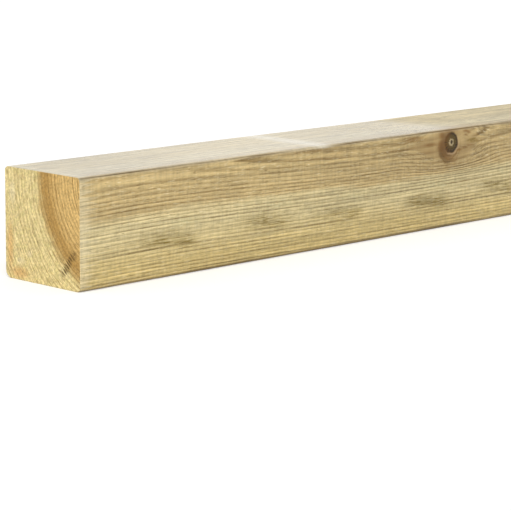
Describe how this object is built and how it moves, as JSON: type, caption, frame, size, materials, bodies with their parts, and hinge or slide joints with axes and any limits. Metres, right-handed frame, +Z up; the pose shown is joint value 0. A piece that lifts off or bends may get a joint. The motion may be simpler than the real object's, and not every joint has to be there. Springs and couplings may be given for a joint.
{
  "type": "treated pine post",
  "caption": "Square planed pine post with rounded long arrises and cross-cut ends, pressure treated, for fences, pergolas and frames.",
  "frame": {"origin": "middle of the underside, where the post lies on the floor", "axes": "+X along the post and its grain, +Y from the front face to the back face, +Z up"},
  "size_m": [1.8, 0.09, 0.09],
  "materials": {
    "treated_pine": "planed and pressure treated, with no coating, and rough sawn on the two ends"
  },
  "bodies": {
    "root": {"post": "treated_pine"}
  },
  "joints": []
}
